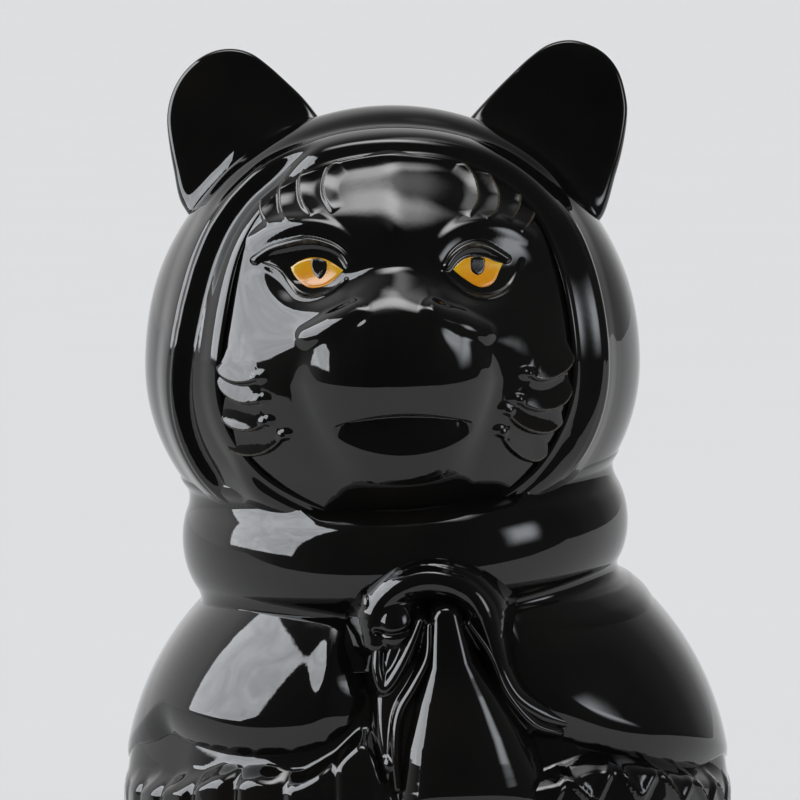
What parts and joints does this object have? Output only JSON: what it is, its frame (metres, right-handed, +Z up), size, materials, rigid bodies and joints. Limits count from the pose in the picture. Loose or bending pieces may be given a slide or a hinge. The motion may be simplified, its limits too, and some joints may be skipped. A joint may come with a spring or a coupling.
{
  "type": "beckoning cat figurine",
  "caption": "Sitting beckoning cat in glossy black glazed ceramic, with yellow eyes and a rolled scarf knotted under its hood.",
  "frame": {"origin": "on the surface that the figurine stands on, under the middle of its footprint", "axes": "+Z up; -Y the way the cat faces; +X the cat's left"},
  "size_m": [0.153, 0.147, 0.2763],
  "materials": {
    "glaze": "glossy black glaze",
    "iris_enamel": "glossy yellow-orange enamel",
    "pupil_enamel": "glossy black enamel",
    "felt": "matt wool felt"
  },
  "bodies": {
    "root": {"hood_shell": "glaze", "face_shell": "glaze", "left_ear": "glaze", "right_ear": "glaze", "neck_roll": "glaze", "scarf_knot": "glaze", "left_scarf_end": "glaze", "right_scarf_end": "glaze", "cape_shell": "glaze", "body_shell": "glaze", "raised_foreleg": "glaze", "resting_foreleg": "glaze", "curled_tail": "glaze", "left_hind_paw": "glaze", "right_hind_paw": "glaze", "left_iris": "iris_enamel", "right_iris": "iris_enamel", "left_pupil": "pupil_enamel", "right_pupil": "pupil_enamel", "felt_pad_front_left": "felt", "felt_pad_front_right": "felt", "felt_pad_back_left": "felt", "felt_pad_back_right": "felt"}
  },
  "joints": []
}
